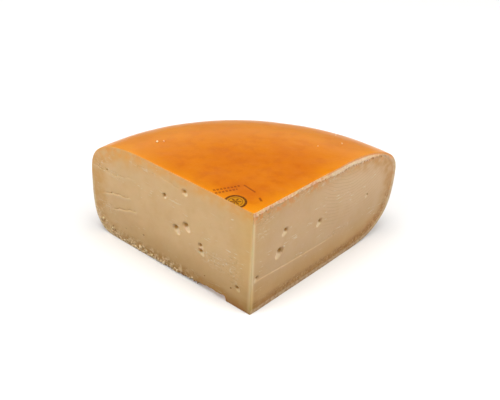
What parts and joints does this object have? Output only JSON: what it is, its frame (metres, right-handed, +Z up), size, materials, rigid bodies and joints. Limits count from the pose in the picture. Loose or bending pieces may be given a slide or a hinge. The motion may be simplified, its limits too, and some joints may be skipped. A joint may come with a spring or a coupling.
{
  "type": "quarter wheel of gouda cheese",
  "caption": "Hand-cut quarter of a large round cheese: flat top and base, soft rounded rind shoulders, two cut faces with small eyes and a crumbled foot.",
  "frame": {"origin": "middle of the bounding box, on the base that the cheese stands on", "axes": "+X across the cheese from the left end of the rind to the right one, +Y from the near edge where the cut faces meet towards the rind, +Z up through the wheel's thickness"},
  "size_m": [0.2876, 0.1978, 0.103],
  "materials": {
    "gouda_paste": "matt, slightly oily cut paste; the thin waxy orange rind isn't a solid of its own"
  },
  "bodies": {
    "root": {"gouda_quarter": "gouda_paste"}
  },
  "joints": []
}
